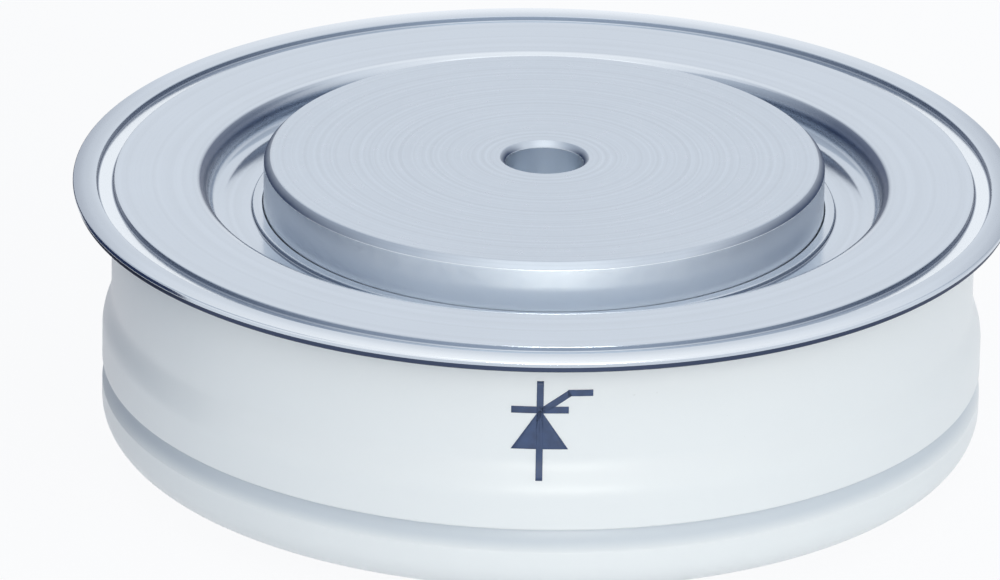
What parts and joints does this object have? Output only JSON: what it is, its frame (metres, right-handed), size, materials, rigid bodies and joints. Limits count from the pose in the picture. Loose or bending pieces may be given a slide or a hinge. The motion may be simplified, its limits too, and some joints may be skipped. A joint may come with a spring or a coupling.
{
  "type": "disc thyristor",
  "caption": "Flat capsule thyristor: a contact pole on each face, a glazed ceramic ring wall, thin welded sheet flanges with a flexing trough, and a gate terminal on the side.",
  "frame": {"origin": "centre of the anode contact face, which the part rests on", "axes": "+Z along the capsule's axis from the anode face to the cathode face, +Y towards the gate terminal"},
  "size_m": [0.042, 0.042, 0.014],
  "materials": {
    "nickel_plate": "satin nickel plate on copper",
    "flange_sheet": "satin nickel plated sheet",
    "glazed_alumina": "off-white glaze",
    "silver": "soft silver",
    "molybdenum": "lapped",
    "silicon": "polished",
    "seal_rubber": "moulded",
    "insulator": "turned",
    "gate_brass": "plated",
    "spring_steel": "drawn wire"
  },
  "bodies": {
    "root": {"anode_pole": "nickel_plate", "anode_flange": "flange_sheet", "anode_foil": "silver", "anode_plate": "molybdenum", "silicon_wafer": "silicon", "edge_seal": "seal_rubber", "locating_ring": "insulator", "cathode_plate": "molybdenum", "cathode_foil": "silver", "cathode_pole": "nickel_plate", "ceramic_ring": "glazed_alumina", "weld_ring": "flange_sheet", "cathode_flange": "flange_sheet", "gate_pin": "gate_brass", "gate_spring": "spring_steel", "gate_bush": "insulator", "gate_lead": "silver", "lead_sleeve": "insulator", "gate_tube": "nickel_plate"}
  },
  "joints": []
}
